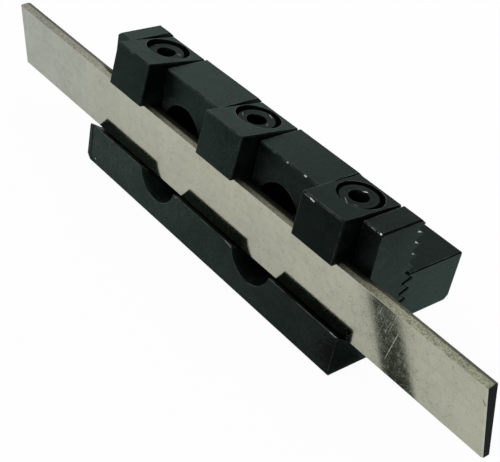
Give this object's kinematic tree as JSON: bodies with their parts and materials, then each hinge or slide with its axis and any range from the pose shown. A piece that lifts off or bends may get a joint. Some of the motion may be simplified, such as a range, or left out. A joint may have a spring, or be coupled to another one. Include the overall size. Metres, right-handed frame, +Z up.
{
  "type": "parting blade holder",
  "caption": "Serrated steel block that holds a parting blade upright under screwed strap clamps and bolts at an adjustable height to a rectangular lathe tool shank.",
  "frame": {"origin": "on the underside of the block, halfway along the block and below the front face of the blade's lower edge", "axes": "+X along the blade and the block, +Y from the blade to the rear of the shank, +Z up from the underside of the block"},
  "size_m": [0.1287, 0.0277, 0.0281],
  "materials": {
    "block_black": "black oxide",
    "shank_black": "black oxide",
    "clamp_black": "black oxide",
    "screw_black": "black oxide",
    "blade_steel": "ground"
  },
  "bodies": {
    "holder": {"blade_block": "block_black", "shank": "shank_black"},
    "blade": {"parting_blade": "blade_steel"},
    "left_clamp": {"clamp_left": "clamp_black"},
    "middle_clamp": {"clamp_middle": "clamp_black"},
    "right_clamp": {"clamp_right": "clamp_black"},
    "left_clamp_screw": {"clamp_screw_left": "screw_black"},
    "middle_clamp_screw": {"clamp_screw_middle": "screw_black"},
    "right_clamp_screw": {"clamp_screw_right": "screw_black"},
    "left_shank_screw": {"shank_screw_left": "screw_black"},
    "right_shank_screw": {"shank_screw_right": "screw_black"}
  },
  "joints": [
    {"name": "blade_slide", "type": "slide", "parent": "holder", "child": "blade", "axis": [1, 0, 0], "range_m": [-0.028, 0.028]},
    {"name": "left_clamp_lift", "type": "slide", "parent": "holder", "child": "left_clamp", "axis": [0, 0, 1], "range_m": [0, 0.0021]},
    {"name": "left_clamp_screw_turn", "type": "hinge", "parent": "left_clamp", "child": "left_clamp_screw", "pos_m": [-0.02495, 0.00588, 0.0225], "axis": [0, 0, 1], "range_deg": [0, 1090]},
    {"name": "middle_clamp_lift", "type": "slide", "parent": "holder", "child": "middle_clamp", "axis": [0, 0, 1], "range_m": [0, 0.0021]},
    {"name": "middle_clamp_screw_turn", "type": "hinge", "parent": "middle_clamp", "child": "middle_clamp_screw", "pos_m": [0.0008, 0.00588, 0.0227], "axis": [0, 0, 1], "range_deg": [0, 1090]},
    {"name": "right_clamp_lift", "type": "slide", "parent": "holder", "child": "right_clamp", "axis": [0, 0, 1], "range_m": [0, 0.0021]},
    {"name": "right_clamp_screw_turn", "type": "hinge", "parent": "right_clamp", "child": "right_clamp_screw", "pos_m": [0.0259, 0.00588, 0.02285], "axis": [0, 0, 1], "range_deg": [0, 1090]},
    {"name": "left_shank_screw_turn", "type": "hinge", "parent": "holder", "child": "left_shank_screw", "pos_m": [-0.0132, 0.0072, 0.0107], "axis": [0, -1, 0], "range_deg": [0, 180]},
    {"name": "right_shank_screw_turn", "type": "hinge", "parent": "holder", "child": "right_shank_screw", "pos_m": [0.0133, 0.0072, 0.0107], "axis": [0, -1, 0], "range_deg": [0, 180]}
  ],
  "couplings": [
    {"joint": "left_clamp_screw_turn", "follows": "left_clamp_lift", "rad_per_m": 8976},
    {"joint": "middle_clamp_screw_turn", "follows": "middle_clamp_lift", "rad_per_m": 8976},
    {"joint": "right_clamp_screw_turn", "follows": "right_clamp_lift", "rad_per_m": 8976}
  ]
}
